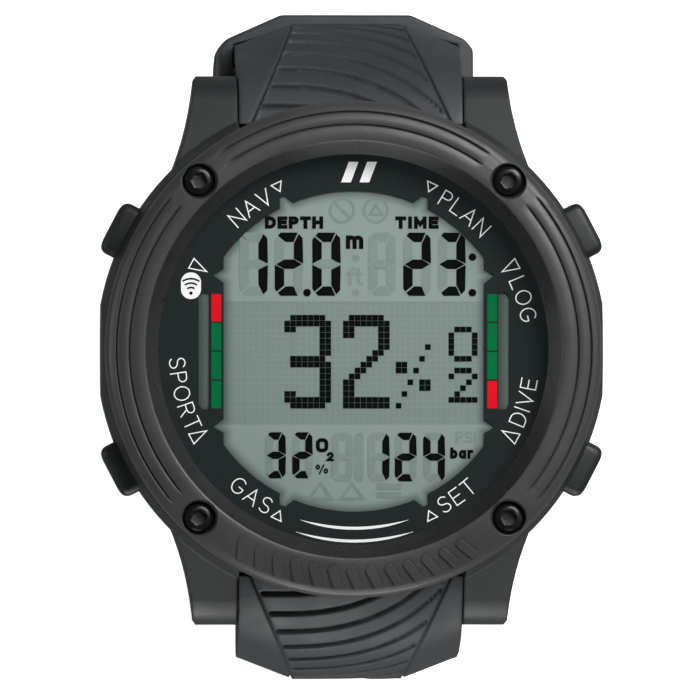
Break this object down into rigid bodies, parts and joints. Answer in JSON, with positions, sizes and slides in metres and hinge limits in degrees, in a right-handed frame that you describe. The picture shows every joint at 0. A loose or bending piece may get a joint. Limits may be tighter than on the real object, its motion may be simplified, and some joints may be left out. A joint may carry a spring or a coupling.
{
  "type": "wrist dive computer",
  "caption": "Round wrist dive computer with a screwed bezel, segment display, side push buttons, battery cover and a two-part rubber strap with buckle.",
  "frame": {"origin": "centre of the flat case back, on the axis of the round case", "axes": "+Z out of the dial towards the eye, +Y towards 12 o'clock, +X towards 3 o'clock; the strap hangs to -Z"},
  "size_m": [0.0494, 0.0655, 0.0835],
  "materials": {
    "case_plastic": "fine matte black-grey",
    "bezel_plastic": "satin dark grey with soft wear",
    "strap_rubber": "matte moulded rubber",
    "button_rubber": "matte rubber over a hard core",
    "seal_rubber": "greased rubber",
    "dial_print": "printed near-black sheet",
    "lcd": "reflective grey-green display",
    "white_plastic": "moulded white",
    "connector_rubber": "banded elastomer",
    "board_green": "solder mask",
    "chip_black": "moulded package",
    "screw_black": "black oxide",
    "steel": "brushed",
    "brass": "turned",
    "ferrite": "sintered",
    "lens_glass": "clear, coated"
  },
  "bodies": {
    "case": {"case_body": "case_plastic", "bezel": "bezel_plastic", "bezel_screws": "screw_black", "screw_inserts": "brass", "lens": "lens_glass", "lens_gasket": "seal_rubber", "dial_mask": "dial_print", "lcd_panel": "lcd", "lcd_holder": "white_plastic", "backlight": "white_plastic", "lcd_connectors": "connector_rubber", "circuit_board": "board_green", "board_screws": "steel", "board_chips": "chip_black", "compass_sensor": "chip_black", "clock_crystal": "steel", "antenna_core": "ferrite", "antenna_winding": "brass", "buzzer": "brass", "button_switches": "steel", "battery": "steel", "battery_contact_negative": "brass", "battery_contact_positive": "brass", "pressure_sensor": "steel", "sensor_seal": "seal_rubber", "sensor_cover": "steel", "button_bushings": "steel", "spring_bars": "steel", "spring_top_right": "steel", "spring_top_left": "steel", "spring_bottom_left": "steel", "spring_bottom_right": "steel"},
    "button_top_right": {"button_top_right": "button_rubber", "seal_top_right": "seal_rubber", "clip_top_right": "steel"},
    "button_top_left": {"button_top_left": "button_rubber", "seal_top_left": "seal_rubber", "clip_top_left": "steel"},
    "button_bottom_left": {"button_bottom_left": "button_rubber", "seal_bottom_left": "seal_rubber", "clip_bottom_left": "steel"},
    "button_bottom_right": {"button_bottom_right": "button_rubber", "seal_bottom_right": "seal_rubber", "clip_bottom_right": "steel"},
    "cover_seal": {"battery_cover_seal": "seal_rubber"},
    "battery_cover": {"battery_cover": "case_plastic"},
    "upper_strap": {"strap_upper": "strap_rubber", "keeper_fixed": "strap_rubber", "buckle_pin": "steel"},
    "lower_strap": {"strap_lower": "strap_rubber"},
    "sliding_keeper": {"keeper_sliding": "strap_rubber"},
    "buckle": {"buckle_frame": "steel"},
    "tongue": {"buckle_tongue": "steel"}
  },
  "joints": [
    {"name": "button_top_right_press", "type": "slide", "parent": "case", "child": "button_top_right", "axis": [-0.8878, -0.4602, 0], "range_m": [0, 0.0008], "stiffness_N_per_m": 80, "springref_m": -0.006, "deforming": ["spring_top_right"]},
    {"name": "button_top_left_press", "type": "slide", "parent": "case", "child": "button_top_left", "axis": [0.8878, -0.4602, 0], "range_m": [0, 0.0008], "stiffness_N_per_m": 80, "springref_m": -0.006, "deforming": ["spring_top_left"]},
    {"name": "button_bottom_left_press", "type": "slide", "parent": "case", "child": "button_bottom_left", "axis": [0.8878, 0.4602, 0], "range_m": [0, 0.0008], "stiffness_N_per_m": 80, "springref_m": -0.006, "deforming": ["spring_bottom_left"]},
    {"name": "button_bottom_right_press", "type": "slide", "parent": "case", "child": "button_bottom_right", "axis": [-0.8878, 0.4602, 0], "range_m": [0, 0.0008], "stiffness_N_per_m": 80, "springref_m": -0.006, "deforming": ["spring_bottom_right"]},
    {"name": "upper_strap_hinge", "type": "hinge", "parent": "case", "child": "upper_strap", "pos_m": [0, 0.0247, 0.0054], "axis": [1, 0, 0], "range_deg": [-5, 20]},
    {"name": "lower_strap_hinge", "type": "hinge", "parent": "case", "child": "lower_strap", "pos_m": [0, -0.0247, 0.0054], "axis": [-1, 0, 0], "range_deg": [-5, 20]},
    {"name": "keeper_slide_along_strap", "type": "hinge", "parent": "upper_strap", "child": "sliding_keeper", "pos_m": [0, 0.0014, -0.0135], "axis": [-1, 0, 0], "range_deg": [0, 32]},
    {"name": "buckle_hinge", "type": "hinge", "parent": "upper_strap", "child": "buckle", "pos_m": [0, 0.01246, -0.03955], "axis": [1, 0, 0], "range_deg": [-20, 50]},
    {"name": "tongue_hinge", "type": "hinge", "parent": "buckle", "child": "tongue", "pos_m": [0, 0.01246, -0.03955], "axis": [1, 0, 0], "range_deg": [0, 70]},
    {"name": "cover_lift", "type": "slide", "parent": "case", "child": "cover_seal", "axis": [0, 0, -1], "range_m": [0, 0.0031]},
    {"name": "cover_turn", "type": "hinge", "parent": "cover_seal", "child": "battery_cover", "pos_m": [0, 0, 0], "axis": [0, 0, -1], "range_deg": [0, 720]}
  ],
  "couplings": [
    {"joint": "cover_lift", "follows": "cover_turn", "m_per_rad": 0.00023873}
  ]
}
